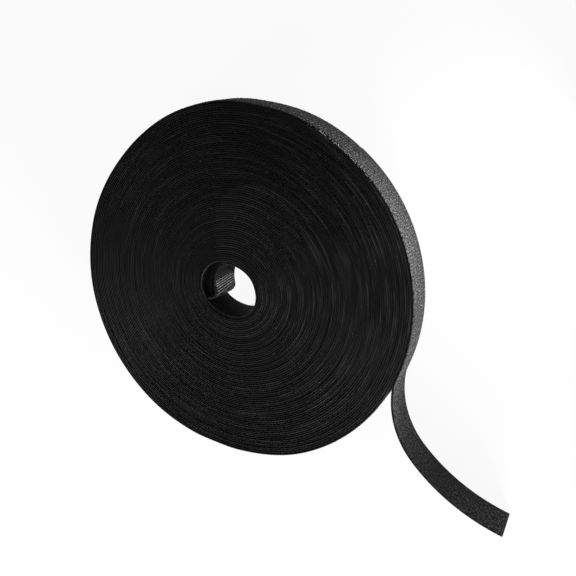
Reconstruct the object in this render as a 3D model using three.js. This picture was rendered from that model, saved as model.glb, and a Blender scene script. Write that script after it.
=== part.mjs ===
import * as THREE from "three";

// A roll of black hook and loop tape with no core, lying flat on one side face.
// Millimetres. +Z is the axis of the roll and z = 0 is the face that it lies on.
// +X runs from the roll to the tip of the free tail.
// The tape is two webs back to back: loop pile on its outer side, hooks on its inner side.
// It winds clockwise from the bore to the rim, seen from above.

// The tape, as it is wound and where it is free
const TAPE_WIDTH = 20;
const TURN_PITCH = 1.1;
const WOUND_LOOP = 0.36;
const WOUND_HOOK = 0.28;
const FREE_LOOP = 0.7;
const FREE_HOOK = 0.55;
const SWELL_LENGTH = 8;

// The wound pack
const OUTER_RADIUS = 95;
const BORE_RADIUS = 14.7;
const BORE_OVAL = 0.089;
const OVAL_ANGLE = 17;
const BORE_SHIFT_X = -2.46;
const BORE_SHIFT_Y = -3.36;
const SHOWN_LOOPS = 24;
const LOOP_STEPS = 36;

// The last lap and the free tail: where it leaves the roll, and its three bends
const PEEL_ANGLE = 15;
const LAP_ANGLE = 50;
const PEEL_BEND_LENGTH = 6;
const PEEL_BEND_TURN = 15.75;
const TAIL_CURVE_LENGTH = 40.2;
const TAIL_CURVE_TURN = 47.1;
const TAIL_SWEEP_LENGTH = 55.8;
const TAIL_SWEEP_TURN = 33.2;
const TAIL_ROOT_LENGTH = 20;
const TAIL_STRETCHES = 3;
const TAIL_STEPS = 8;

// The inner end: where it leaves the bore wall, and the bends of the flap and of the curl at its foot.
// It spans the bore, so its lengths are shares of the bore's radius.
const INNER_ANGLE = 115;
const FLAP_ROOT_SHARE = 0.614;
const FLAP_ARCH_SHARE = 0.791;
const FLAP_ARCH_TURN = 75.4;
const FLAP_SIDE_SHARE = 0.663;
const FLAP_SIDE_TURN = 38.7;
const FLAP_FLAT_SHARE = 0.121;
const CURL_SHARE = 0.42;
const CURL_TURN = -103.8;
const CURL_LIP_SHARE = 0.07;
const FLAP_ROOT_STEPS = 6;
const FLAP_STEPS = 18;

// The space left where the tape is cut at a hinge, and where a cut end meets the pack
const HINGE_GAP = 0.6;
const END_GAP = 0.35;

const RAD = Math.PI / 180;
const FULL_TURN = 360;
const loopStep = FULL_TURN / LOOP_STEPS;
const laminate = WOUND_LOOP + WOUND_HOOK;
const turnGap = TURN_PITCH - laminate;
const tailLegs = [
  { length: PEEL_BEND_LENGTH, turn: PEEL_BEND_TURN },
  { length: TAIL_CURVE_LENGTH, turn: TAIL_CURVE_TURN },
  { length: TAIL_SWEEP_LENGTH, turn: TAIL_SWEEP_TURN },
];
const innerLegs = [
  { length: FLAP_ARCH_SHARE * BORE_RADIUS, turn: FLAP_ARCH_TURN },
  { length: FLAP_SIDE_SHARE * BORE_RADIUS, turn: FLAP_SIDE_TURN },
  { length: FLAP_FLAT_SHARE * BORE_RADIUS, turn: 0 },
  { length: CURL_SHARE * BORE_RADIUS, turn: CURL_TURN },
  { length: CURL_LIP_SHARE * BORE_RADIUS, turn: 0 },
];
const tailLength = lengthOf(tailLegs);
const innerLength = lengthOf(innerLegs);
const flapRoot = FLAP_ROOT_SHARE * BORE_RADIUS;
const stretchLength = (tailLength - TAIL_ROOT_LENGTH) / TAIL_STRETCHES;
const tailHinges = Array.from(
  { length: TAIL_STRETCHES },
  (unused, i) => TAIL_ROOT_LENGTH + i * stretchLength,
);

// A place on the tape: its point, the direction it runs in, and how far its pile and hooks have risen.
function place(x, y, heading, free) {
  return { x, y, heading, free };
}

// The point beside a place, to the left of the way that the tape runs.
function beside(p, offset) {
  const side = p.heading + Math.PI / 2;
  return new THREE.Vector2(p.x + offset * Math.cos(side), p.y + offset * Math.sin(side));
}

// How far pile and hooks have risen at a distance from where the tape leaves the pack.
function risen(distance) {
  return THREE.MathUtils.smoothstep(distance, 0, SWELL_LENGTH);
}

// The place at a distance along a row of arcs, from a first place.
function along(first, legs, distance) {
  let { x, y, heading } = first;
  let left = distance;
  for (const leg of legs) {
    const run = Math.min(left, leg.length);
    const turn = leg.turn * RAD * (run / leg.length);
    const half = turn / 2;
    const chord = run * (Math.abs(half) > 1e-9 ? Math.sin(half) / half : 1);
    x += chord * Math.cos(heading + half);
    y += chord * Math.sin(heading + half);
    heading += turn;
    left -= run;
    if (left <= 0) break;
  }
  return place(x, y, heading, risen(distance));
}

function lengthOf(legs) {
  return legs.reduce((sum, leg) => sum + leg.length, 0);
}

// The line where the two webs meet, at an angle back from the peel along the outer turns.
function outerTurn(back) {
  const radius = OUTER_RADIUS - WOUND_LOOP - (TURN_PITCH * back) / FULL_TURN;
  const angle = (PEEL_ANGLE + back) * RAD;
  return place(radius * Math.cos(angle), radius * Math.sin(angle), angle - Math.PI / 2, 0);
}

// The same line at an angle forward from where the first turn begins at the bore wall.
// The first turns are wound on nothing, so the bore is a little oval, and the tape leans with it.
function firstTurn(ahead) {
  const angle = (INNER_ANGLE - ahead) * RAD;
  const oval = 2 * (angle - OVAL_ANGLE * RAD);
  const bore = BORE_RADIUS * (1 + BORE_OVAL * Math.cos(oval));
  const radius = bore + WOUND_HOOK + (TURN_PITCH * ahead) / FULL_TURN;
  const lean = Math.atan2(-2 * BORE_RADIUS * BORE_OVAL * Math.sin(oval), radius);
  const x = BORE_SHIFT_X + radius * Math.cos(angle);
  const y = BORE_SHIFT_Y + radius * Math.sin(angle);
  return place(x, y, angle - Math.PI / 2 - lean, 0);
}

// Turned about, so that the tape runs the other way.
function reversed(p) {
  return place(p.x, p.y, p.heading + Math.PI, p.free);
}

// The free tail, by distance from the peel, and the inner end, by distance from the bore wall.
function tail(distance) {
  return along(outerTurn(0), tailLegs, distance);
}
function innerEnd(distance) {
  return reversed(along(reversed(firstTurn(0)), innerLegs, distance));
}

// Places at even steps from one distance to another.
function stretch(at, from, to, steps) {
  return Array.from({ length: steps + 1 }, (unused, i) => at(from + ((to - from) * i) / steps));
}

// A length of tape, raised to the tape's width from its plan: the left edge out and the right edge back.
function raise(plan) {
  return new THREE.ExtrudeGeometry(plan, { depth: TAPE_WIDTH, bevelEnabled: false, steps: 1 });
}
function tape(places, right, left) {
  const there = places.map((p) => beside(p, left(p)));
  const back = places.map((p) => beside(p, right(p))).reverse();
  return raise(new THREE.Shape([...back, ...there]));
}
const mid = () => 0;
const loopSide = (p) => THREE.MathUtils.lerp(WOUND_LOOP, FREE_LOOP, p.free);
const hookSide = (p) => -THREE.MathUtils.lerp(WOUND_HOOK, FREE_HOOK, p.free);

// The outer turns: one unbroken strip from the pack to the last lap.
const lapGap = HINGE_GAP / 2 / OUTER_RADIUS / RAD;
const packBack = LAP_ANGLE + SHOWN_LOOPS * FULL_TURN;
const packEnd = outerTurn(packBack);
const packRadius = Math.hypot(packEnd.x, packEnd.y);
const endAngle = END_GAP / packRadius / RAD;
const outerTurns = [];
outerTurns.push(outerTurn(packBack - endAngle));
for (let i = SHOWN_LOOPS * LOOP_STEPS - 1; i > 0; i -= 1) {
  outerTurns.push(outerTurn(LAP_ANGLE + i * loopStep));
}
outerTurns.push(outerTurn(LAP_ANGLE + lapGap));

// The least gap of the winding to itself, from the outer edge of each place to the turn outside it.
function fromSegment(p, a, b) {
  const run = b.clone().sub(a);
  const t = THREE.MathUtils.clamp(p.clone().sub(a).dot(run) / run.lengthSq(), 0, 1);
  return p.distanceTo(a.clone().addScaledVector(run, t));
}
function leastGap(places) {
  const outer = places.map((p) => beside(p, loopSide(p)));
  const inner = places.map((p) => beside(p, hookSide(p)));
  let least = Infinity;
  for (let i = 0; i < places.length; i += 1) {
    const last = Math.min(places.length - 2, i + LOOP_STEPS + 2);
    for (let j = i + LOOP_STEPS - 3; j <= last; j += 1) {
      least = Math.min(least, fromSegment(outer[i], inner[j], inner[j + 1]));
      least = Math.min(least, fromSegment(inner[j], outer[i], outer[Math.min(i + 1, places.length - 1)]));
    }
  }
  return least;
}

// The inner turns: a plain ring between the first turn and the outer turns.
// Its rim and its bore each follow one turn, with a step where the tape comes out of the ring.
function packPlan() {
  const rim = [];
  const bore = [];
  for (let i = 0; i <= LOOP_STEPS; i += 1) {
    rim.push(beside(outerTurn(packBack - FULL_TURN + i * loopStep), -WOUND_HOOK - turnGap));
    bore.push(beside(firstTurn(i * loopStep), WOUND_LOOP + turnGap));
  }
  const plan = new THREE.Shape(rim);
  plan.holes.push(new THREE.Path(bore));
  return plan;
}

// The first turn, from the hinge of the inner end round the bore to the ring.
const firstRadius = BORE_RADIUS + WOUND_HOOK + TURN_PITCH;
const firstEnd = END_GAP / firstRadius / RAD;
const firstTurns = stretch(innerEnd, flapRoot - HINGE_GAP / 2, 0, FLAP_ROOT_STEPS);
for (let i = 1; i < LOOP_STEPS; i += 1) {
  firstTurns.push(firstTurn(i * loopStep));
}
firstTurns.push(firstTurn(FULL_TURN - firstEnd));

// The loose inner end, from the tip of its curl to its hinge.
const innerPlaces = stretch(innerEnd, innerLength, flapRoot + HINGE_GAP / 2, FLAP_STEPS);

// The last lap with the root of the tail, and the three stretches of the tail.
const lapPlaces = [outerTurn(LAP_ANGLE - lapGap)];
for (let back = LAP_ANGLE - loopStep; back > loopStep / 2; back -= loopStep) {
  lapPlaces.push(outerTurn(back));
}
lapPlaces.push(...stretch(tail, 0, TAIL_ROOT_LENGTH - HINGE_GAP / 2, TAIL_STEPS));
const tailEnds = [...tailHinges, tailLength + HINGE_GAP / 2];
const tailPlaces = tailHinges.map((hinge, i) =>
  stretch(tail, hinge + HINGE_GAP / 2, tailEnds[i + 1] - HINGE_GAP / 2, TAIL_STEPS),
);

// Matt black nylon: the pile is a little paler than the hooks and the wound edges.
const pile = new THREE.MeshStandardMaterial({ color: 0x343534, roughness: 0.95, metalness: 0 });
const hooks = new THREE.MeshStandardMaterial({ color: 0x202120, roughness: 0.7, metalness: 0 });
const edges = new THREE.MeshStandardMaterial({ color: 0x191a19, roughness: 0.9, metalness: 0 });

const roll = new THREE.Group();
roll.name = "hook_and_loop_tape_roll";

function add(name, geometry, material) {
  const mesh = new THREE.Mesh(geometry, material);
  mesh.name = name;
  roll.add(mesh);
}
function addWebs(name, places) {
  add(name + "_loop", tape(places, mid, loopSide), pile);
  add(name + "_hook", tape(places, hookSide, mid), hooks);
}

add("inner_winding", raise(packPlan()), edges);
add("outer_winding", tape(outerTurns, hookSide, loopSide), edges);
addWebs("first_turn", firstTurns);
addWebs("inner_end", innerPlaces);
addWebs("outer_lap", lapPlaces);
tailPlaces.forEach((places, i) => addWebs("tail_" + (i + 1), places));

// The origin is under the middle of the whole part.
const box = new THREE.Box3().setFromObject(roll);
const centre = box.getCenter(new THREE.Vector3());
roll.children.forEach((mesh) => mesh.geometry.translate(-centre.x, -centre.y, 0));

// What the sizes come to, and where the tape bends.
const wound = (Math.PI * (OUTER_RADIUS ** 2 - BORE_RADIUS ** 2)) / TURN_PITCH;
const turns = (OUTER_RADIUS - BORE_RADIUS) / TURN_PITCH;
const pivots = { inner_end: innerEnd(flapRoot), outer_lap: outerTurn(LAP_ANGLE) };
tailHinges.forEach((hinge, i) => {
  pivots["tail_" + (i + 1)] = tail(hinge);
});
console.log("least gap of the outer winding to itself: " + leastGap(outerTurns).toFixed(3) + " mm");
console.log("wound length " + (wound / 1000).toFixed(1) + " m in " + turns.toFixed(0) + " turns");
console.log("axis of the roll at " + (-centre.x).toFixed(3) + ", " + (-centre.y).toFixed(3));
for (const [name, p] of Object.entries(pivots)) {
  console.log(name + " bends at " + (p.x - centre.x).toFixed(3) + ", " + (p.y - centre.y).toFixed(3));
}

export default roll;
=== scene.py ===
import math
import random

import bmesh
import bpy
from mathutils import Matrix, Vector, noise


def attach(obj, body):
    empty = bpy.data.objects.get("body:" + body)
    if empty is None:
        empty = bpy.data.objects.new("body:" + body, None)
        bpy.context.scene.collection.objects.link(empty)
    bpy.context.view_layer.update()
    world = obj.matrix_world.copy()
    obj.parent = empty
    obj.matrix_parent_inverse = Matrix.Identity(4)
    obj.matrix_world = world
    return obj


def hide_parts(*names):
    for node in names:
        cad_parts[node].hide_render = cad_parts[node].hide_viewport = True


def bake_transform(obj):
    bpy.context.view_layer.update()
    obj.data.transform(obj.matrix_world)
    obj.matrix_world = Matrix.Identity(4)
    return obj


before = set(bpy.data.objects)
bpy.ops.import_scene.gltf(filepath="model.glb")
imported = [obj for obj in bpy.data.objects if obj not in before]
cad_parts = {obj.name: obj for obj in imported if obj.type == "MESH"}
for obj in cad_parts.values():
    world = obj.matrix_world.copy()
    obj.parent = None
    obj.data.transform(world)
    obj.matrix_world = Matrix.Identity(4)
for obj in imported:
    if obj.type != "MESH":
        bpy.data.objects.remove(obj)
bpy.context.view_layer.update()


# The loose inner end of the tape.
# Winding starts here: a flap of tape that crosses the bore and curls at its foot. It is two black nylon
# webs, back to back: woven loop pile on one side, and a moulded film with rows of small hooks on the other.
MM = 0.001  # the tape's sizes are written in millimetres
TAPE_WIDTH = 20.0
TURN_PITCH = 1.1
WOUND_LOOP = 0.36
WOUND_HOOK = 0.28
OUTER_RADIUS = 95.0
PEEL_ANGLE = 15.0
LAP_ANGLE = 50.0
OUTER_LOOPS = 24
PACK_BACK = LAP_ANGLE + OUTER_LOOPS * 360


def outer_spiral(back):
    """The plain round spiral of the outer turns at an angle back from the peel: its radius, and the
    distance along the tape, which is nothing at the peel and less than nothing inside the roll."""
    radius = OUTER_RADIUS - WOUND_LOOP - TURN_PITCH * back / 360
    along = -math.radians(back) * (OUTER_RADIUS - WOUND_LOOP + radius) / 2
    return radius, along


ROLL_AXIS = (-43.189, -0.274)
BORE_RADIUS = 14.7
BORE_OVAL = 0.089
OVAL_ANGLE = math.radians(17.0)
BORE_SHIFT = (-2.46, -3.36)
INNER_ANGLE = 115.0
INNER_LOOPS = 48
PACK_RADIUS, PACK_ALONG = outer_spiral(PACK_BACK)
FIRST_RADIUS = BORE_RADIUS + WOUND_HOOK
INNER_SWEEP = INNER_LOOPS * 360 + INNER_ANGLE - (PEEL_ANGLE + LAP_ANGLE)
INNER_PITCH = (PACK_RADIUS - FIRST_RADIUS) * 360 / INNER_SWEEP
INNER_LENGTH = math.radians(INNER_SWEEP) * (PACK_RADIUS + FIRST_RADIUS) / 2


def inner_point(ahead):
    """The line between the webs at an angle forward from the bore wall: x, y, heading and radius.
    The turns go from the bore's own centre and oval to rounds about the axis of the roll."""
    left = 1 - ahead / INNER_SWEEP
    angle = math.radians(INNER_ANGLE - ahead)
    oval = 2 * (angle - OVAL_ANGLE)
    out_of_round = BORE_RADIUS * BORE_OVAL * left**3
    radius = FIRST_RADIUS + INNER_PITCH * ahead / 360 + out_of_round * math.cos(oval)
    slope = -2 * out_of_round * math.sin(oval)
    x = ROLL_AXIS[0] + BORE_SHIFT[0] * left**2 + radius * math.cos(angle)
    y = ROLL_AXIS[1] + BORE_SHIFT[1] * left**2 + radius * math.sin(angle)
    return x, y, angle - math.pi / 2 - math.atan2(slope, radius), radius


def inner_turn(ahead):
    """A place on that line: x, y, heading, distance along the tape, and the room that a turn has there."""
    x, y, heading, radius = inner_point(ahead)
    room = TURN_PITCH
    if ahead + 360 < INNER_SWEEP:
        after = inner_point(ahead + 360)
        room = math.hypot(after[0] - x, after[1] - y)
    along = math.radians(ahead) * (FIRST_RADIUS + radius) / 2
    return x, y, heading, along - INNER_LENGTH + PACK_ALONG, room


def along_legs(first, legs, distance):
    """The point and heading at a distance along a row of arcs, each a length and a turn in degrees."""
    x, y, heading = first
    left = distance
    for length, turn in legs:
        run = min(left, length)
        curve = math.radians(turn) * run / length
        chord = run * (math.sin(curve / 2) / (curve / 2) if curve else 1.0)
        x += chord * math.cos(heading + curve / 2)
        y += chord * math.sin(heading + curve / 2)
        heading += curve
        left -= run
        if left <= 0:
            break
    return x, y, heading


FLAP_LEGS = [
    (0.791 * BORE_RADIUS, 79.0),
    (0.663 * BORE_RADIUS, 35.1),
    (0.121 * BORE_RADIUS, 0.0),
    (0.420 * BORE_RADIUS, -103.8),
    (0.070 * BORE_RADIUS, 0.0),
]
FLAP_LENGTH = sum(length for length, turn in FLAP_LEGS)
FLAP_HINGE = 0.614 * BORE_RADIUS
FREE_ROOM = 1.0


def flap(distance):
    """The inner end by distance from where it leaves the bore wall, headed the way that tape is wound."""
    x, y, heading, along, room = inner_turn(0)
    x, y, heading = along_legs((x, y, heading + math.pi), FLAP_LEGS, distance)
    return x, y, heading - math.pi, along - distance, FREE_ROOM


# A section goes round the edge of a web: offset from the line between the webs, height,
# and the finish of the side that starts there.
EDGE, PILE, YARN, FILM, HOOK = 0, 1, 2, 3, 4
PILE_TOP = 0.52
LOOP_SECTION = [
    (0.0, 0.0, EDGE),
    (0.0, TAPE_WIDTH, EDGE),
    (0.32, TAPE_WIDTH, EDGE),
    (0.40, TAPE_WIDTH - 0.25, EDGE),
    (0.40, TAPE_WIDTH - 0.85, PILE),
    (0.47, TAPE_WIDTH - 1.25, PILE),
    (PILE_TOP, TAPE_WIDTH - 2.2, PILE),
    (PILE_TOP, 2.2, PILE),
    (0.47, 1.25, PILE),
    (0.40, 0.85, EDGE),
    (0.40, 0.25, EDGE),
    (0.32, 0.0, EDGE),
]
FREE_FILM = 0.45
HOOK_SECTION = [
    (-FREE_FILM, 0.12, FILM),
    (-FREE_FILM, TAPE_WIDTH - 0.12, EDGE),
    (-0.34, TAPE_WIDTH, EDGE),
    (0.0, TAPE_WIDTH, EDGE),
    (0.0, 0.0, EDGE),
    (-0.34, 0.0, EDGE),
]
SEAM_GAP = 1e-7


def wind(places, section, lift=None, lean=None):
    """A flat strip of grid laid along a row of places and folded round a section. Its offsets are multiplied
    by the room at each place: they are millimetres where that is 1, and shares of a turn inside the roll."""
    bm = bmesh.new()
    rows = len(section)
    count = len(places)
    bmesh.ops.create_grid(bm, x_segments=count - 1, y_segments=rows, size=0.5)
    bm.verts.ensure_lookup_table()
    uv = bm.loops.layers.uv.new("Tape")
    closed = section + section[:1]
    around = [0.0]
    for (offset, height, side), (next_offset, next_height, next_side) in zip(closed, closed[1:]):
        around.append(around[-1] + math.hypot(next_offset - offset, next_height - height))
    cell = {}
    for index, vert in enumerate(bm.verts):
        row, column = divmod(index, count)
        x, y, heading, along, room = places[column]
        offset, height, side = closed[row]
        out = heading + math.pi / 2
        rise = lift(along) if lift else 0.0
        shift = offset * room - (lean(along, height) if lean else 0.0)
        vert.co = (
            (x + shift * math.cos(out)) * MM,
            (y + shift * math.sin(out)) * MM,
            (height + rise) * MM,
        )
        cell[vert] = (row, column)
    for face in bm.faces:
        face.material_index = section[min(cell[v][0] for v in face.verts)][2]
        face.smooth = True
        for loop in face.loops:
            row, column = cell[loop.vert]
            loop[uv].uv = (places[column][3] * MM, around[row] * MM)
    seam = [v for v in bm.verts if cell[v][0] in (0, rows)]
    bmesh.ops.remove_doubles(bm, verts=seam, dist=SEAM_GAP)
    ends = [e for e in bm.edges if e.is_boundary]
    bmesh.ops.holes_fill(bm, edges=ends, sides=0)
    bmesh.ops.recalc_face_normals(bm, faces=bm.faces)
    return bm


def strew(bm, shape, spots, finish):
    """Adds a copy of a small shape at each spot, given as a matrix and the spot's own place on the tape."""
    corners = [v.co.copy() for v in shape.verts]
    faces = [[v.index for v in f.verts] for f in shape.faces]
    points, rings, marks = [], [], []
    for number, (matrix, along, across) in enumerate(spots):
        points.extend(matrix @ corner for corner in corners)
        first = number * len(corners)
        for face in faces:
            rings.append([first + i for i in face])
            marks.extend([(along * MM, across * MM)] * len(face))
    mesh = bpy.data.meshes.new("strewn")
    mesh.from_pydata(points, [], rings)
    layer = mesh.uv_layers.new(name="Tape")
    for loop, mark in zip(layer.data, marks):
        loop.uv = mark
    for polygon in mesh.polygons:
        polygon.material_index = finish
        polygon.use_smooth = True
    bm.from_mesh(mesh)
    bpy.data.meshes.remove(mesh)


TO_BORE, TO_RIM = -1, 1


def upright(place, offset, height, towards, turn, size, wide, tall):
    """Stands a small shape on the tape: its X along the tape, its Z out of the face, turned and scaled."""
    x, y, heading, along, room = place
    ahead = Vector((math.cos(heading), math.sin(heading), 0))
    out = Vector((-math.sin(heading), math.cos(heading), 0)) * towards
    side = out.cross(ahead)
    spot = Vector((x * MM, y * MM, height * MM)) + out * abs(offset) * MM
    basis = Matrix((ahead, side, out)).transposed().to_4x4()
    scale = Matrix.Diagonal((size * MM, wide * MM, tall * MM, 1))
    return Matrix.Translation(spot) @ basis @ Matrix.Rotation(turn, 4, "Z") @ scale


def close_up(shape):
    """Takes out the faces that a spin leaves inside a shape, and turns the others outwards."""
    inside = [f for f in shape.faces if all(len(e.link_faces) > 2 for e in f.edges)]
    bmesh.ops.delete(shape, geom=inside, context="FACES")
    bmesh.ops.recalc_face_normals(shape, faces=shape.faces)
    shape.verts.index_update()


# One hook: a three-sided stem, bent over by a spin. Its sizes are shares, scaled to millimetres on the tape.
STEM_SIDES = 3
STEM_RADIUS = 0.13
STEM_ROOT = 0.1
STEM_TOP = 0.55
HOOK_BEND = 0.26
HOOK_TURN = math.radians(150)
SPIN_STEPS = 3
SPIN_GAP = 1e-5
hook_shape = bmesh.new()
bmesh.ops.create_circle(hook_shape, cap_ends=True, segments=STEM_SIDES, radius=STEM_RADIUS)
bmesh.ops.translate(hook_shape, vec=(0, 0, -STEM_ROOT), verts=hook_shape.verts)
stem = bmesh.ops.extrude_face_region(hook_shape, geom=list(hook_shape.faces))
stem_top = [g for g in stem["geom"] if isinstance(g, bmesh.types.BMVert)]
bmesh.ops.translate(hook_shape, vec=(0, 0, STEM_ROOT + STEM_TOP), verts=stem_top)
top_face = [g for g in stem["geom"] if isinstance(g, bmesh.types.BMFace)]
bmesh.ops.spin(
    hook_shape,
    geom=top_face + list(top_face[0].edges) + list(top_face[0].verts),
    cent=(HOOK_BEND, 0, STEM_TOP),
    axis=(0, 1, 0),
    angle=HOOK_TURN,
    steps=SPIN_STEPS,
)
bmesh.ops.remove_doubles(hook_shape, verts=hook_shape.verts, dist=SPIN_GAP)
close_up(hook_shape)

# One loop of pile: a thin three-sided yarn, arched from foot to foot.
YARN_SIDES = 3
YARN_RADIUS = 0.11
LOOP_ARCH = 0.5
LOOP_ROOT = 0.15
loop_shape = bmesh.new()
bmesh.ops.create_circle(loop_shape, cap_ends=True, segments=YARN_SIDES, radius=YARN_RADIUS)
bmesh.ops.translate(loop_shape, vec=(-LOOP_ARCH, 0, -LOOP_ROOT), verts=loop_shape.verts)
bmesh.ops.spin(
    loop_shape,
    geom=list(loop_shape.faces) + list(loop_shape.edges) + list(loop_shape.verts),
    cent=(0, 0, -LOOP_ROOT),
    axis=(0, 1, 0),
    angle=math.radians(180),
    steps=SPIN_STEPS,
)
close_up(loop_shape)

HOOK_PAIR = 1.4
HOOK_APART = 0.42
HOOK_GAP = 1.0
HOOK_MARGIN = 0.6
HOOK_SIZE = 0.45
HOOK_WIDE = 1.6
HOOK_ASKEW = 0.35
HOOK_HEIGHTS = (0.85, 1.05)
chance = random.Random(20)


def hook_spots(at, start, end, film, lean=None, skew=0.0):
    """Rows of hooks across the tape, in pairs that face away from each other.
    With a skew, each row runs that much further along the tape at its upper end."""
    spots = []
    pairs = max(1, round(abs(end - start) / HOOK_PAIR))
    step = (end - start) / pairs
    for row in range(2 * pairs):
        middle = start + step * (row // 2 + 0.5)
        distance = middle + (row % 2 - 0.5) * HOOK_APART * math.copysign(1, step)
        row_along = at(distance)[3]
        height = HOOK_MARGIN + (row % 2) * HOOK_GAP / 2
        while height < TAPE_WIDTH - HOOK_MARGIN:
            place = at(distance + skew * (height / TAPE_WIDTH - 0.5))
            along, room = place[3:]
            turn = (row % 2) * math.pi + chance.uniform(-HOOK_ASKEW, HOOK_ASKEW)
            tall = HOOK_SIZE * chance.uniform(*HOOK_HEIGHTS)
            base = film * room + (lean(along, height) if lean else 0.0)
            matrix = upright(place, base, height, TO_BORE, turn, HOOK_SIZE, HOOK_WIDE, tall)
            spots.append((matrix, row_along, height))
            height += HOOK_GAP
    return spots


LOOP_ROW = 1.6
LOOPS_PER_AREA = 0.86
EDGE_MARGIN = 0.9
LOOP_STRAY = 0.08
MOST_STRAY = 0.45
LOOP_ASKEW = 0.7
LOOP_SIZE = 0.62
LOOP_SIZES = (0.7, 1.3)
LOOP_HEIGHTS = (0.55, 1.0)


def loop_spots(at, start, end, base, tallest, unit=1.0):
    """Loops of pile in uneven rows across the tape, between its two flat edges.
    The unit is how many millimetres one step of start and end stands for."""
    spots = []
    across = TAPE_WIDTH - 2 * EDGE_MARGIN
    rows = max(1, round(abs(end - start) * unit / LOOP_ROW))
    step = (end - start) / rows
    for row in range(rows):
        for number in range(round(LOOP_ROW * across * LOOPS_PER_AREA)):
            stray = min(MOST_STRAY, max(-MOST_STRAY, chance.gauss(0, LOOP_STRAY)))
            place = at(start + step * (row + 0.5 + stray))
            along, room = place[3:]
            height = EDGE_MARGIN + chance.random() * across
            turn = chance.gauss(0, LOOP_ASKEW)
            size = LOOP_SIZE * chance.uniform(*LOOP_SIZES)
            tall = tallest / LOOP_ARCH * chance.uniform(*LOOP_HEIGHTS)
            matrix = upright(place, base * room, height, TO_RIM, turn, size, size, tall)
            spots.append((matrix, along, height))
    return spots


def add_node(tree, kind, **values):
    """A new node with some of its settings given."""
    node = tree.nodes.new(kind)
    for name, value in values.items():
        setattr(node, name, value)
    return node


def calculate(tree, operation, *values, clamp=False):
    """A sum worked out by a node, on plain numbers or on what other nodes put out."""
    node = add_node(tree, "ShaderNodeMath", operation=operation, use_clamp=clamp)
    for socket, value in zip(node.inputs, values):
        if isinstance(value, (int, float)):
            socket.default_value = value
        else:
            tree.links.new(value, socket)
    return node.outputs[0]


# Shared by the finishes: the yarns of the weave, long streaks along the tape, fine speckle and bits of lint.
STREAK_DETAIL = 3.0
SPECKLE_DETAIL = 2.0
NOISE_ROUGHNESS = 0.6
LINT_PER_METRE = 190.0
LINT_REACH = 0.045
LINT_LEFT_OUT = 0.72
grain = bpy.data.node_groups.new("tape_grain", "ShaderNodeTree")
for name in ("Yarns per metre", "Streaks per metre", "Speckles along", "Speckles across"):
    grain.interface.new_socket(name, in_out="INPUT", socket_type="NodeSocketFloat")
for name in ("Yarn", "Streak", "Speckle", "Lint"):
    grain.interface.new_socket(name, in_out="OUTPUT", socket_type="NodeSocketFloat")
group_in = add_node(grain, "NodeGroupInput")
group_out = add_node(grain, "NodeGroupOutput")
tape_map = add_node(grain, "ShaderNodeUVMap", uv_map="Tape")
on_tape = add_node(grain, "ShaderNodeSeparateXYZ")
grain.links.new(tape_map.outputs["UV"], on_tape.inputs[0])
yarn_rate = calculate(grain, "MULTIPLY", group_in.outputs["Yarns per metre"], math.tau)
weft = calculate(grain, "SINE", calculate(grain, "MULTIPLY", on_tape.outputs["X"], yarn_rate))
warp = calculate(grain, "SINE", calculate(grain, "MULTIPLY", on_tape.outputs["Y"], yarn_rate))
crossing = calculate(grain, "MULTIPLY", weft, warp)
grain.links.new(calculate(grain, "MULTIPLY_ADD", crossing, 0.5, 0.5), group_out.inputs["Yarn"])


def tape_noise(detail, **rates):
    """Noise that changes at a rate per metre along the tape, X, and across it, Y."""
    lumps = add_node(grain, "ShaderNodeCombineXYZ")
    for axis, rate in rates.items():
        grain.links.new(calculate(grain, "MULTIPLY", on_tape.outputs[axis], rate), lumps.inputs[axis])
    node = add_node(grain, "ShaderNodeTexNoise", noise_dimensions="3D")
    node.inputs["Scale"].default_value = 1.0
    node.inputs["Detail"].default_value = detail
    node.inputs["Roughness"].default_value = NOISE_ROUGHNESS
    grain.links.new(lumps.outputs[0], node.inputs["Vector"])
    return node.outputs["Fac"]


streak = tape_noise(STREAK_DETAIL, X=group_in.outputs["Streaks per metre"])
grain.links.new(streak, group_out.inputs["Streak"])
speckle = tape_noise(
    SPECKLE_DETAIL,
    X=group_in.outputs["Speckles along"],
    Y=group_in.outputs["Speckles across"],
)
grain.links.new(speckle, group_out.inputs["Speckle"])
bits = add_node(grain, "ShaderNodeTexVoronoi", voronoi_dimensions="2D", feature="F1")
bits.inputs["Scale"].default_value = LINT_PER_METRE
grain.links.new(tape_map.outputs["UV"], bits.inputs["Vector"])
near = calculate(grain, "LESS_THAN", bits.outputs["Distance"], LINT_REACH)
bit_colour = add_node(grain, "ShaderNodeSeparateColor")
grain.links.new(bits.outputs["Color"], bit_colour.inputs[0])
few = calculate(grain, "GREATER_THAN", bit_colour.outputs[0], LINT_LEFT_OUT)
grain.links.new(calculate(grain, "MULTIPLY", near, few), group_out.inputs["Lint"])


def start_finish(name, shine, yarns, streaks, along, across):
    """A finish with the grain placed in it: the material, its tree, its shader and the grain's node."""
    material = bpy.data.materials.new(name)
    material.use_nodes = True
    tree = material.node_tree
    shader = tree.nodes["Principled BSDF"]
    shader.inputs["Specular IOR Level"].default_value = shine
    weave = add_node(tree, "ShaderNodeGroup", node_tree=grain)
    for socket, rate in zip(weave.inputs, (yarns, streaks, along, across)):
        socket.default_value = rate
    return material, tree, shader, weave


def ramp(tree, value, stops):
    """Turns a value into a colour, or into a grey where the stops are plain numbers."""
    node = add_node(tree, "ShaderNodeValToRGB")
    elements = node.color_ramp.elements
    while len(elements) < len(stops):
        elements.new(1.0)
    for element, (position, colour) in zip(elements, stops):
        element.position = position
        element.color = (*colour, 1) if isinstance(colour, tuple) else (colour, colour, colour, 1)
    tree.links.new(value, node.inputs["Fac"])
    return node.outputs["Color"]


# The places of the colour sockets on a Mix node, which has the same names again for other kinds of value.
MIX_SHARE, MIX_FIRST, MIX_SECOND, MIX_RESULT = 0, 6, 7, 2


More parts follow.
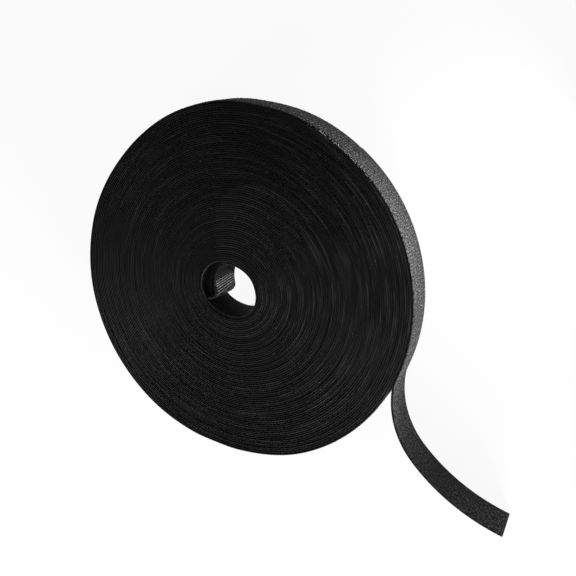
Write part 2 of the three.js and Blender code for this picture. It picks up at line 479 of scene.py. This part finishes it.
def toned(tree, colour, tone):
    """A colour times a tone, which leaves it as it is at 1."""
    node = add_node(tree, "ShaderNodeMix", data_type="RGBA", blend_type="MULTIPLY")
    node.inputs[MIX_SHARE].default_value = 1.0
    tree.links.new(colour, node.inputs[MIX_FIRST])
    tree.links.new(tone, node.inputs[MIX_SECOND])
    return node.outputs[MIX_RESULT]


def along_tape(tree, start, length):
    """A value that goes from 0 to 1 over a stretch of the tape."""
    tape_map = add_node(tree, "ShaderNodeUVMap", uv_map="Tape")
    on_tape = add_node(tree, "ShaderNodeSeparateXYZ")
    tree.links.new(tape_map.outputs["UV"], on_tape.inputs[0])
    from_start = calculate(tree, "SUBTRACT", on_tape.outputs["X"], start * MM)
    return calculate(tree, "DIVIDE", from_start, length * MM, clamp=True)


def add_bump(tree, shader, height, strength, depth):
    """Roughens a finish by a height, as deep as so many millimetres."""
    node = add_node(tree, "ShaderNodeBump")
    node.inputs["Strength"].default_value = strength
    node.inputs["Distance"].default_value = depth * MM
    tree.links.new(height, node.inputs["Height"])
    tree.links.new(node.outputs["Normal"], shader.inputs["Normal"])


# The woven edges: tight black nylon, some turns a little paler than others. From the outermost turn out to
# the tail they are painted darker, as painted shade.
EDGE_BLACKS = [
    (0.38, (0.0018, 0.0019, 0.0018)),
    (0.5, (0.006, 0.0062, 0.006)),
    (0.62, (0.019, 0.0195, 0.019)),
]
EDGE_ROUGH = [(0.3, 0.5), (0.7, 0.8)]
EDGE_PAINTED_SHADE = [(0.0, 1.0), (1.0, 0.25)]
EDGE_PAINTED_SHADE_START = -600.0
EDGE_PAINTED_SHADE_RUN = 12.0
LINT_GREY = (0.06, 0.06, 0.058)
edge_black, tree, shader, weave = start_finish(
    "woven_edge_black", shine=0.1, yarns=1500.0, streaks=28.0, along=1400.0, across=1400.0
)
streaked = ramp(tree, weave.outputs["Streak"], EDGE_BLACKS)
outermost = ramp(tree, along_tape(tree, EDGE_PAINTED_SHADE_START, EDGE_PAINTED_SHADE_RUN), EDGE_PAINTED_SHADE)
linty = add_node(tree, "ShaderNodeMix", data_type="RGBA", blend_type="MIX")
tree.links.new(weave.outputs["Lint"], linty.inputs[MIX_SHARE])
tree.links.new(toned(tree, streaked, outermost), linty.inputs[MIX_FIRST])
linty.inputs[MIX_SECOND].default_value = (*LINT_GREY, 1)
tree.links.new(linty.outputs[MIX_RESULT], shader.inputs["Base Color"])
tree.links.new(ramp(tree, weave.outputs["Speckle"], EDGE_ROUGH), shader.inputs["Roughness"])
add_bump(tree, shader, weave.outputs["Yarn"], strength=0.12, depth=0.2)

# Shared by the two finishes of the loop web: painted light on the pile. It is painted darker on the tail and
# inside the roll, as painted shade. Along one stretch of the rim it is painted paler towards the upper edge
# and darker towards the lower one, a painted highlight and painted shade.
PILE_PAINTED_SHADE = [(0.18, 0.3), (0.2, 1.0), (0.909, 1.0), (0.939, 0.9), (0.953, 0.58), (0.965, 0.44), (1.0, 0.7)]
PILE_PAINTED_SHADE_START = -1000.0
PILE_PAINTED_SHADE_RUN = 1100.0
TOP_LIGHT_SHARE = [(0.03, 0.0), (0.16, 1.0), (0.76, 1.0), (0.97, 0.0)]
TOP_LIGHT_START = -170.0
TOP_LIGHT_RUN = 140.0
TOP_LIGHT_PALER = 0.27
HALF_WIDTH = TAPE_WIDTH / 2 * MM
pile_painted_light = bpy.data.node_groups.new("pile_painted_light", "ShaderNodeTree")
pile_painted_light.interface.new_socket("Pile colour", in_out="INPUT", socket_type="NodeSocketColor")
pile_painted_light.interface.new_socket("Painted pile colour", in_out="OUTPUT", socket_type="NodeSocketColor")
group_in = add_node(pile_painted_light, "NodeGroupInput")
group_out = add_node(pile_painted_light, "NodeGroupOutput")
painted_pile_shade = ramp(pile_painted_light, along_tape(pile_painted_light, PILE_PAINTED_SHADE_START, PILE_PAINTED_SHADE_RUN), PILE_PAINTED_SHADE)
pile_with_painted_shade = toned(pile_painted_light, group_in.outputs["Pile colour"], painted_pile_shade)
solid = add_node(pile_painted_light, "ShaderNodeTexCoord")
in_space = add_node(pile_painted_light, "ShaderNodeSeparateXYZ")
pile_painted_light.links.new(solid.outputs["Object"], in_space.inputs[0])
# Painted highlight towards the upper edge of the rim, and painted shade towards the lower one.
above_middle = calculate(pile_painted_light, "SUBTRACT", in_space.outputs["Z"], HALF_WIDTH)
paler = calculate(pile_painted_light, "MULTIPLY", above_middle, TOP_LIGHT_PALER / HALF_WIDTH)
painted_top_light = ramp(pile_painted_light, along_tape(pile_painted_light, TOP_LIGHT_START, TOP_LIGHT_RUN), TOP_LIGHT_SHARE)
painted_top_light_tone = calculate(pile_painted_light, "ADD", calculate(pile_painted_light, "MULTIPLY", paler, painted_top_light), 1.0)
pile_painted_light.links.new(toned(pile_painted_light, pile_with_painted_shade, painted_top_light_tone), group_out.inputs["Painted pile colour"])


def paint_pile_light(tree, colour, shader):
    """Gives a finish the colour of its pile, painted darker and paler along the tape: painted shade and a
    painted highlight.
    """
    node = add_node(tree, "ShaderNodeGroup", node_tree=pile_painted_light)
    tree.links.new(colour, node.inputs["Pile colour"])
    tree.links.new(node.outputs["Painted pile colour"], shader.inputs["Base Color"])


# The ground of the loop web: a dark knit with lines across the tape.
GROUND_BLACKS = [(0.4, (0.011, 0.0112, 0.011)), (0.5, (0.038, 0.0387, 0.038)), (0.6, (0.108, 0.11, 0.108))]
ground_black, tree, shader, weave = start_finish(
    "loop_ground_black", shine=0.15, yarns=900.0, streaks=20.0, along=1500.0, across=600.0
)
# Its colour takes the pile's painted shade and painted highlight.
paint_pile_light(tree, ramp(tree, weave.outputs["Speckle"], GROUND_BLACKS), shader)
shader.inputs["Roughness"].default_value = 0.95
add_bump(tree, shader, weave.outputs["Speckle"], strength=0.6, depth=0.5)

# The loops that stand up from it: soft crimped yarn, each a little paler or darker.
YARN_GREYS = [(0.4, (0.096, 0.098, 0.096)), (0.5, (0.228, 0.232, 0.228)), (0.6, (0.5, 0.508, 0.5))]
yarn_black, tree, shader, weave = start_finish(
    "loop_yarn_black", shine=0.2, yarns=900.0, streaks=20.0, along=1300.0, across=900.0
)
# Its colour takes the pile's painted shade and painted highlight.
paint_pile_light(tree, ramp(tree, weave.outputs["Speckle"], YARN_GREYS), shader)
shader.inputs["Roughness"].default_value = 0.9

# The film of the hook web: dull black.
FILM_BLACKS = [(0.3, (0.002, 0.0021, 0.002)), (0.7, (0.006, 0.0062, 0.006))]
FILM_ROUGH = [(0.3, 0.6), (0.7, 0.8)]
film_black, tree, shader, weave = start_finish(
    "hook_film_black", shine=0.05, yarns=900.0, streaks=60.0, along=900.0, across=900.0
)
tree.links.new(ramp(tree, weave.outputs["Speckle"], FILM_BLACKS), shader.inputs["Base Color"])
tree.links.new(ramp(tree, weave.outputs["Streak"], FILM_ROUGH), shader.inputs["Roughness"])
add_bump(tree, shader, weave.outputs["Yarn"], strength=0.4, depth=0.2)

# The hooks: moulded nylon with a low shine. They are painted pale across the middle of the flap, a painted
# highlight, and painted dark at its curl and from its arch on, as painted shade.
HOOK_GREYS = [(0.35, (0.16, 0.162, 0.16)), (0.65, (0.38, 0.384, 0.38))]
HOOK_ROUGH = [(0.3, 0.4), (0.7, 0.55)]
HOOK_PAINTED_LIGHT = [(0.1, 0.1), (0.15, 1.0), (0.29, 1.0), (0.33, 0.15), (0.42, 0.04)]
HOOK_PAINTED_LIGHT_START = flap(FLAP_LENGTH)[3]
HOOK_PAINTED_LIGHT_RUN = 1.5 * FLAP_LENGTH
hook_black, tree, shader, weave = start_finish(
    "hook_nylon_black", shine=0.1, yarns=900.0, streaks=60.0, along=900.0, across=500.0
)
moulded = ramp(tree, weave.outputs["Speckle"], HOOK_GREYS)
painted_hook_light = ramp(tree, along_tape(tree, HOOK_PAINTED_LIGHT_START, HOOK_PAINTED_LIGHT_RUN), HOOK_PAINTED_LIGHT)
tree.links.new(toned(tree, moulded, painted_hook_light), shader.inputs["Base Color"])
tree.links.new(ramp(tree, weave.outputs["Streak"], HOOK_ROUGH), shader.inputs["Roughness"])

TAPE_FINISHES = [edge_black, ground_black, yarn_black, film_black, hook_black]
SHARP_EDGE = math.radians(55)


def finish_piece(name, bm, slot, *nodes):
    """Makes a bmesh a piece in the tape's finishes, and hides the CAD nodes that it stands for. The slot is
    not used.
    """
    mesh = bpy.data.meshes.new(name)
    bm.to_mesh(mesh)
    bm.free()
    for material in TAPE_FINISHES:
        mesh.materials.append(material)
    mesh.set_sharp_from_angle(angle=SHARP_EDGE)
    piece = bpy.data.objects.new(name, mesh)
    bpy.context.scene.collection.objects.link(piece)
    if nodes:
        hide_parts(*nodes)
    return piece


def even_places(at, start, end, step):
    """Places from start to end, no further apart than a step."""
    count = max(2, math.ceil(abs(end - start) / step))
    return [at(start + (end - start) * i / count) for i in range(count + 1)]


FREE_LOOP = 0.3
LOOP_SUNK = 0.03


def make_webs(name, cad_name, at, start, end, step, section, pile_top, lean=None, skew=0.0):
    """The two webs of a stretch of free tape, with their loops and hooks."""
    loop_web = wind(even_places(at, start, end, step), section, lean=lean)
    strew(loop_web, loop_shape, loop_spots(at, start, end, pile_top - LOOP_SUNK, FREE_LOOP), YARN)
    hook_web = wind(even_places(at, start, end, step), HOOK_SECTION, lean=lean)
    strew(hook_web, hook_shape, hook_spots(at, start, end, FREE_FILM, lean, skew), HOOK)
    return (
        finish_piece(name + "_loop", loop_web, "loop_pile", cad_name + "_loop"),
        finish_piece(name + "_hook", hook_web, "hook_face", cad_name + "_hook"),
    )


def bend(pieces, at, hinge, reach):
    """Bakes each web's placing into its mesh. It finds the tape a short reach each side of the hinge, but
    nothing uses those points.
    """
    for distance in (hinge - reach, hinge + reach):
        x, y = at(distance)[:2]
    for piece in pieces:
        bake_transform(piece)


def ease(share):
    """Goes gently from 0 to 1."""
    share = min(1.0, max(0.0, share))
    return share * share * (3 - 2 * share)


FLAP_SEAM = 4.5
FLAP_STEP = 0.5
FLAP_BEND = 3.5
FLAP_TOP = flap(FLAP_SEAM)[3]
FLAP_TWIST = 0.5
TWIST_RUN = 6.0
ROW_SKEW = 1.9


def flap_lean(along, height):
    """The flap has a slight twist: its far edge stands a little further into the bore than its near one."""
    return FLAP_TWIST * ease((FLAP_TOP - along) / TWIST_RUN) * (1 - height / TAPE_WIDTH)


inner_flap = make_webs(
    "inner_flap",
    "inner_end",
    flap,
    FLAP_LENGTH,
    FLAP_SEAM,
    FLAP_STEP,
    LOOP_SECTION,
    PILE_TOP,
    flap_lean,
    ROW_SKEW,
)
bend(inner_flap, flap, FLAP_HINGE, FLAP_BEND)


# The first turn.
# The same two webs of black nylon, lining the bore with the hooks towards the middle.
# Nothing fixes it: it is held open by its own spring, and stands a little askew.
FIRST_TURN = 360.0
FEWEST_STEPS = 96
ROOT_STEP = 0.6


def bore_wall(distance):
    """The flap's root and the first turn as one run: millimetres before the wall, degrees after."""
    place = flap(-distance) if distance < 0 else inner_turn(distance)
    return (*place[:4], FREE_ROOM)


WALL_START = inner_turn(0)[3]
FAR_DEEPEST = 2.8
FAR_AT = 79.0
FAR_REACH = 10.0
NEAR_DEEPEST = 0.65
NEAR_AT = 20.0
NEAR_REACH = 7.0


def wall_lean(along, height):
    """The slack turn stands a little askew: its far edge leans in towards the bore beside the flap,
    and its near edge leans in a little across from there."""
    up = height / TAPE_WIDTH
    far = (along - WALL_START - FAR_AT) / FAR_REACH
    near = (along - WALL_START - NEAR_AT) / NEAR_REACH
    return FAR_DEEPEST * math.exp(-far * far) * (1 - up) + NEAR_DEEPEST * math.exp(-near * near) * up


wall_places = even_places(bore_wall, -FLAP_SEAM, 0.0, ROOT_STEP)
wall_places += even_places(bore_wall, 360 / FEWEST_STEPS, FIRST_TURN, 360 / FEWEST_STEPS)
bore_loop = wind(wall_places, LOOP_SECTION, lean=wall_lean)
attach(finish_piece("bore_turn_loop", bore_loop, "loop_pile", "first_turn_loop"), "roll")

# The slit edge of its film: a thin clean cut that catches the light.
CUT_BLACKS = [(0.35, (0.006, 0.0062, 0.006)), (0.65, (0.024, 0.0245, 0.024))]
cut_black, tree, shader, weave = start_finish(
    "slit_edge_black", shine=0.18, yarns=900.0, streaks=90.0, along=900.0, across=900.0
)
tree.links.new(ramp(tree, weave.outputs["Streak"], CUT_BLACKS), shader.inputs["Base Color"])
shader.inputs["Roughness"].default_value = 0.5
CUT = len(TAPE_FINISHES)
TAPE_FINISHES.append(cut_black)
WOUND_FILM = 0.25
CUT_WIDE = 0.25
BORE_SECTION = [
    (-WOUND_FILM, CUT_WIDE, FILM),
    (-WOUND_FILM, TAPE_WIDTH - CUT_WIDE, CUT),
    (-0.05, TAPE_WIDTH, EDGE),
    (0.0, TAPE_WIDTH, EDGE),
    (0.0, 0.0, EDGE),
    (-0.05, 0.0, CUT),
]
WALL_DEGREE = math.radians(1) * BORE_RADIUS


def wall_at(run):
    """The first turn by millimetres from the flap."""
    return bore_wall(run / WALL_DEGREE)


bore_hook = wind(wall_places, BORE_SECTION, lean=wall_lean)
wall_spots = hook_spots(wall_at, 0.0, FIRST_TURN * WALL_DEGREE, WOUND_FILM, wall_lean)
strew(bore_hook, hook_shape, wall_spots, HOOK)
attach(finish_piece("bore_turn_hook", bore_hook, "hook_face", "first_turn_hook"), "roll")


# The inner turns.
# The tape goes round and round itself, and its edges make the face of the roll: two thin webs to a turn,
# pressed together, each turn a little prouder or lower than the next.
MOST_STEPS = 180
TURN_SECTION = [
    (-0.47, 0.6, FILM),
    (-0.52, TAPE_WIDTH / 2, FILM),
    (-0.47, TAPE_WIDTH - 0.6, FILM),
    (-0.43, TAPE_WIDTH - 0.06, EDGE),
    (-0.30, TAPE_WIDTH, EDGE),
    (-0.02, TAPE_WIDTH - 0.16, EDGE),
    (0.08, TAPE_WIDTH - 0.10, EDGE),
    (0.30, TAPE_WIDTH - 0.27, EDGE),
    (0.47, TAPE_WIDTH - 0.85, PILE),
    (0.52, TAPE_WIDTH / 2, PILE),
    (0.47, 0.85, EDGE),
    (0.30, 0.27, EDGE),
    (0.08, 0.10, EDGE),
    (-0.02, 0.16, EDGE),
    (-0.30, 0.0, EDGE),
    (-0.43, 0.06, FILM),
]
TURNS_START = inner_turn(FIRST_TURN)[3]
LAP_SEAM = 72.0
LAP_START = outer_spiral(LAP_SEAM)[1]
FLAT_RUN = 100.0
LEVEL_RUN = 60.0
MEAN_RISE = 0.18
SLOW_RISE = 0.2
SLOW_WAVES = 0.011
SLOW_SEED = (4.7, 1.3)
QUICK_RISE = 0.07
QUICK_WAVES = 0.045
QUICK_SEED = (9.1, 6.2)


def uneven(along):
    """How far a turn stands up from the surface that the roll lies on, by distance along the tape.
    It lies level beside the first turn, and again where the last lap starts."""
    slow = noise.noise(Vector((along * SLOW_WAVES, *SLOW_SEED)))
    quick = noise.noise(Vector((along * QUICK_WAVES, *QUICK_SEED)))
    level = ease((along - TURNS_START - FLAT_RUN) / LEVEL_RUN) * ease((LAP_START - along) / LEVEL_RUN)
    return level * max(0.0, MEAN_RISE + SLOW_RISE * slow + QUICK_RISE * quick)


def turn_step(radius):
    """The angle from one place to the next, smaller on the wider turns."""
    share = (radius - BORE_RADIUS) / (OUTER_RADIUS - BORE_RADIUS)
    return 360 / (FEWEST_STEPS + (MOST_STEPS - FEWEST_STEPS) * share)


inner_places = []
ahead = FIRST_TURN
while ahead < INNER_SWEEP:
    inner_places.append(inner_turn(ahead))
    ahead += turn_step(inner_point(ahead)[3])
inner_places.append(inner_turn(INNER_SWEEP))
inner_pack = wind(inner_places, TURN_SECTION, uneven)
inner_turns = finish_piece("inner_turns", inner_pack, "wound_edges", "inner_winding")
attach(inner_turns, "roll")


# The outer turns.
# The same strip of black nylon going on to the rim, held by its own hooks. The roll isn't quite round
# here, and the last of these turns shows its loop pile all the way round.

# Each stop is an angle about the axis, in degrees, and how far the rim stands out there, or in.
OUT_OF_ROUND = [
    (104.0, 0.0),
    (118.0, -0.3),
    (131.0, 0.45),
    (143.0, 0.0),
    (174.0, -1.37),
    (200.0, -0.6),
    (227.0, 0.0),
    (272.0, 0.25),
    (287.0, 0.0),
    (297.0, -0.45),
    (307.0, 0.1),
    (329.0, 1.2),
    (360.0, 0.85),
    (377.0, 0.0),
]


def rim_swell(angle):
    """How far the rim stands out at an angle. It is plain round between the last stop and the first."""
    first_angle = OUT_OF_ROUND[0][0]
    turned = (angle - first_angle) % 360 + first_angle
    for (start, first), (end, last) in zip(OUT_OF_ROUND, OUT_OF_ROUND[1:]):
        if turned <= end:
            return first + (last - first) * ease((turned - start) / (end - start))
    return 0.0


def outer_turn(back):
    """A place on the outer turns at an angle back from the peel, rounder towards the inner turns."""
    plain, along = outer_spiral(back)
    radius = plain + rim_swell(PEEL_ANGLE + back) * (1 - back / PACK_BACK)
    angle = math.radians(PEEL_ANGLE + back)
    x = ROLL_AXIS[0] + radius * math.cos(angle)
    y = ROLL_AXIS[1] + radius * math.sin(angle)
    return x, y, angle - math.pi / 2, along, TURN_PITCH


outer_places = []
back = PACK_BACK
while back > LAP_SEAM:
    outer_places.append(outer_turn(back))
    back -= turn_step(OUTER_RADIUS - TURN_PITCH * back / 360)
outer_places.append(outer_turn(LAP_SEAM))
outer_pack = wind(outer_places, TURN_SECTION, uneven)
outer_turns = finish_piece("outer_turns", outer_pack, "wound_edges", "outer_winding")
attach(outer_turns, "roll")

# The pile of the last whole turn, each loop rooted at a share of the turn's room.
RIM_ROOT = 0.436
RIM_LOOP = 0.36
RIM_DEGREE = math.radians(1) * OUTER_RADIUS
rim_pile = bmesh.new()
rim_pile.loops.layers.uv.new("Tape")
rim_spots = loop_spots(outer_turn, LAP_SEAM, LAP_SEAM + 360, RIM_ROOT, RIM_LOOP, RIM_DEGREE)
strew(rim_pile, loop_shape, rim_spots, YARN)

# Loops that have worked up over the edge of that turn, along one stretch near the start of the last lap.
FLUFF_START = 59.0
FLUFF_END = 88.0
FLUFF_LOOPS = 170
FLUFF_ACROSS = (-0.45, 0.5)
FLUFF_TALL = 0.5
fluff_spots = []
for number in range(FLUFF_LOOPS):
    x, y, heading, along, room = outer_turn(chance.triangular(FLUFF_START, FLUFF_END))
    out = Vector((-math.sin(heading), math.cos(heading), 0))
    spot = Vector((x, y, TAPE_WIDTH)) + out * chance.uniform(*FLUFF_ACROSS)
    turned = Matrix.Rotation(heading + chance.gauss(0, LOOP_ASKEW), 4, "Z")
    size = LOOP_SIZE * chance.uniform(*LOOP_SIZES)
    scale = Matrix.Diagonal((size * MM, size * MM, FLUFF_TALL * MM, 1))
    fluff_spots.append((Matrix.Translation(spot * MM) @ turned @ scale, along, TAPE_WIDTH))
strew(rim_pile, loop_shape, fluff_spots, YARN)
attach(finish_piece("rim_pile", rim_pile, "loop_pile"), "roll")


# The last lap.
# The outermost stretch of the strip, of the same two webs. Its hooks hold on to the pile of the turn below,
# and let go from the tail end.
TAIL_LEGS = [(6.0, 15.75), (40.2, 47.1), (55.3, 32.9)]
TAIL_LENGTH = sum(length for length, turn in TAIL_LEGS)
PRESSED = 0.76
PRESSED_RUN = 28.0
FULLER = 0.12
FULLER_RUN = 25.0


def lap_or_tail(distance):
    """The tape by distance from the peel, back round the roll where it is less than nothing.
    It is pressed thinner where it comes from the rim, and springs up fuller where it is free."""
    room = PRESSED + (FREE_ROOM - PRESSED) * ease((distance - LAP_START) / PRESSED_RUN)
    room += FULLER * ease(distance / FULLER_RUN)
    if distance < 0:
        back = math.degrees(-distance / (OUTER_RADIUS - WOUND_LOOP))
        return (*outer_turn(back)[:3], distance, room)
    x, y, heading = along_legs(outer_turn(0)[:3], TAIL_LEGS, distance)
    return x, y, heading, distance, room


# The pile stands fuller here than inside the roll, out to the edges.
FULL_PILE = 0.70
FULL_SECTION = [
    (0.0, 0.0, EDGE),
    (0.0, TAPE_WIDTH, EDGE),
    (0.38, TAPE_WIDTH, PILE),
    (0.66, TAPE_WIDTH - 0.12, PILE),
    (FULL_PILE, TAPE_WIDTH - 0.6, PILE),
    (FULL_PILE, 0.6, PILE),
    (0.66, 0.12, PILE),
    (0.38, 0.0, EDGE),
]
LAP_END = 8.0
LAP_HINGE = outer_spiral(LAP_ANGLE)[1]
LAP_BEND = 12.0
TAIL_STEP = 1.2
last_lap = make_webs(
    "last_lap", "outer_lap", lap_or_tail, LAP_START, LAP_END, TAIL_STEP, FULL_SECTION, FULL_PILE
)
bend(last_lap, lap_or_tail, LAP_HINGE, LAP_BEND)


# The free tail.
# The end of the strip springs away from the roll in a long curve and ends in a square cut.
# It is in three stretches.
TAIL_ROOT = 20.0
TAIL_STRETCH = (TAIL_LENGTH - TAIL_ROOT) / 3
TAIL_SEAMS = [LAP_END, 33.0, 60.0, TAIL_LENGTH]
TAIL_BEND = 11.5
TAIL_BODIES = ["outer_lap", "tail_1", "tail_2", "tail_3"]
for i, name in enumerate(("tail_root", "tail_middle", "tail_tip")):
    before, after = TAIL_BODIES[i : i + 2]
    ends = TAIL_SEAMS[i : i + 2]
    stretch = make_webs(name, after, lap_or_tail, *ends, TAIL_STEP, FULL_SECTION, FULL_PILE)
    bend(stretch, lap_or_tail, TAIL_ROOT + i * TAIL_STRETCH, TAIL_BEND)
hook_shape.free()
loop_shape.free()


# The studio.
# A plain pale floor under the roll. Where it is seen directly it glows nearly white,
# and keeps a little of the roll's shadow.
FLOOR_REACH = 3.0
FLOOR_BELOW = 0.0002
FLOOR_PAINT = (0.86, 0.86, 0.86)
FLOOR_GLOW = 0.93
floor_mesh = bpy.data.meshes.new("floor")
bm = bmesh.new()
bmesh.ops.create_grid(bm, x_segments=1, y_segments=1, size=FLOOR_REACH)
bmesh.ops.translate(bm, vec=(0, 0, -FLOOR_BELOW), verts=bm.verts)
bm.to_mesh(floor_mesh)
bm.free()
floor = bpy.data.objects.new("floor", floor_mesh)
bpy.context.scene.collection.objects.link(floor)
floor_white = bpy.data.materials.new("floor_white")
floor_white.use_nodes = True
tree = floor_white.node_tree
tree.nodes.clear()
paint = add_node(tree, "ShaderNodeBsdfDiffuse")
paint.inputs["Color"].default_value = (*FLOOR_PAINT, 1)
glow = add_node(tree, "ShaderNodeEmission")


def seen_directly(tree):
    """One for what the camera and the reflections see, and nothing for the light itself."""
    rays = add_node(tree, "ShaderNodeLightPath")
    seen = calculate(tree, "MAXIMUM", rays.outputs["Is Camera Ray"], rays.outputs["Is Glossy Ray"])
    return calculate(tree, "MAXIMUM", seen, rays.outputs["Is Transmission Ray"])


both = add_node(tree, "ShaderNodeMixShader")
tree.links.new(calculate(tree, "MULTIPLY", seen_directly(tree), FLOOR_GLOW), both.inputs["Fac"])
tree.links.new(paint.outputs["BSDF"], both.inputs[1])
tree.links.new(glow.outputs["Emission"], both.inputs[2])
surface = add_node(tree, "ShaderNodeOutputMaterial")
tree.links.new(both.outputs["Shader"], surface.inputs["Surface"])
floor_mesh.materials.append(floor_white)

# The room: dim all round for the light, and as pale as the floor where it is seen beyond the floor's edge.
ROOM_LIGHT = 0.17
ROOM_PALE = 0.95
PALE_TOP = 0.55
PALE_FADE = 0.15
world = bpy.data.worlds.new("studio")
bpy.context.scene.world = world
world.use_nodes = True
tree = world.node_tree
sky = tree.nodes["Background"]
sky.inputs["Color"].default_value = (1, 1, 1, 1)
towards = add_node(tree, "ShaderNodeTexCoord")
direction = add_node(tree, "ShaderNodeSeparateXYZ")
tree.links.new(towards.outputs["Generated"], direction.inputs[0])
below_top = calculate(tree, "SUBTRACT", PALE_TOP, direction.outputs["Z"])
low_down = calculate(tree, "DIVIDE", below_top, PALE_FADE, clamp=True)
seen_low = calculate(tree, "MULTIPLY", low_down, seen_directly(tree))
pale = calculate(tree, "MULTIPLY", seen_low, ROOM_PALE - ROOM_LIGHT)
tree.links.new(calculate(tree, "ADD", pale, ROOM_LIGHT), sky.inputs["Strength"])


# The lights: three soft ones round the roll, and a narrow one into the bore.
def aim(lamp, place, target):
    """Stands a lamp at a place and points it at a target, both in metres."""
    light = bpy.data.objects.new(lamp.name, lamp)
    light.location = place
    light.rotation_mode = "QUATERNION"
    light.rotation_quaternion = (Vector(target) - Vector(place)).to_track_quat("-Z", "Y")
    bpy.context.scene.collection.objects.link(light)
    return light


def soft_light(name, place, target, size, power):
    lamp = bpy.data.lights.new(name, "AREA")
    lamp.shape = "DISK"
    lamp.size = size
    lamp.energy = power
    aim(lamp, place, target).visible_camera = False


soft_light("rim_light", place=(0.0413, 0.1461, 0.039), target=(0.0043, 0.082, 0.012), size=0.04, power=0.125)
soft_light("low_light", place=(0.377, -0.162, 0.124), target=(-0.02, 0.0, 0.015), size=0.15, power=2.8)
soft_light("left_light", place=(-0.22, -0.418, 0.14), target=(-0.05, 0.0, 0.015), size=0.15, power=1.65)
bore_lamp = bpy.data.lights.new("bore_light", "SPOT")
bore_lamp.energy = 28.0
bore_lamp.spot_size = math.radians(1.7)
bore_lamp.spot_blend = 0.5
bore_lamp.shadow_soft_size = 0.003
aim(bore_lamp, place=(0.085, 0.365, 0.46), target=(-0.0530, -0.0079, 0.01))

# The camera: above the roll and to one side, where the photograph was taken from.
IMAGE_SIDE = 576
FOCAL_PIXELS = 754.5
VIEW_RIGHT = (0.7284, 0.5391, -0.4230)
VIEW_UP = (-0.6690, 0.6928, -0.2692)
VIEW_BACK = (0.1480, 0.4791, 0.8652)
VIEW_FROM = (0.0346, 0.2025, 0.3477)
NEAREST_SEEN = 0.01
camera_data = bpy.data.cameras.new("camera")
camera = bpy.data.objects.new("camera", camera_data)
bpy.context.scene.collection.objects.link(camera)
camera_data.sensor_fit = "HORIZONTAL"
camera_data.angle = 2 * math.atan(IMAGE_SIDE / 2 / FOCAL_PIXELS)
camera_data.clip_start = NEAREST_SEEN
columns = [(*VIEW_RIGHT, 0), (*VIEW_UP, 0), (*VIEW_BACK, 0), (*VIEW_FROM, 1)]
camera.matrix_world = Matrix(columns).transposed()
bpy.context.scene.camera = camera
bpy.context.scene.view_settings.view_transform = "Standard"
